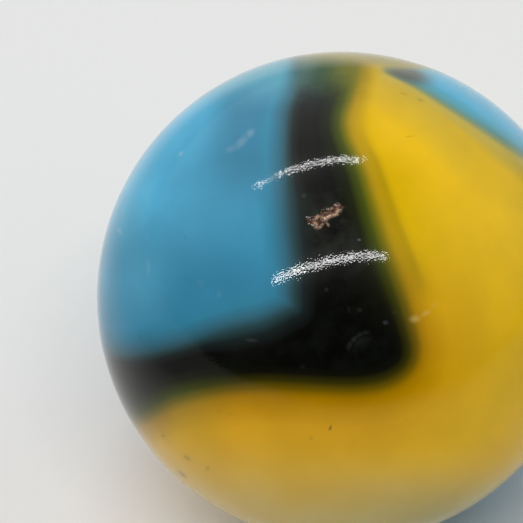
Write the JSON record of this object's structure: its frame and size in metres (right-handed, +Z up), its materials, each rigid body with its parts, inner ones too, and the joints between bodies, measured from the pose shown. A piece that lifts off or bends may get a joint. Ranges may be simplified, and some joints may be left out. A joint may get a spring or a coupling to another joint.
{
  "type": "glass marble",
  "caption": "Solid glass ball with a folded black ribbon fused between sky-blue and yellow opaque glass, for rolling and shooting games.",
  "frame": {"origin": "centre of the ball", "axes": "+Z up, with the folded ribbon's face turned to -Y and leaning back 40 degrees from upright; +X to the right of that face"},
  "size_m": [0.016, 0.016, 0.016],
  "materials": {
    "marble_glass": "gloss, opaque, yellow with black and sky-blue fused in"
  },
  "bodies": {
    "root": {"marble": "marble_glass"}
  },
  "joints": []
}
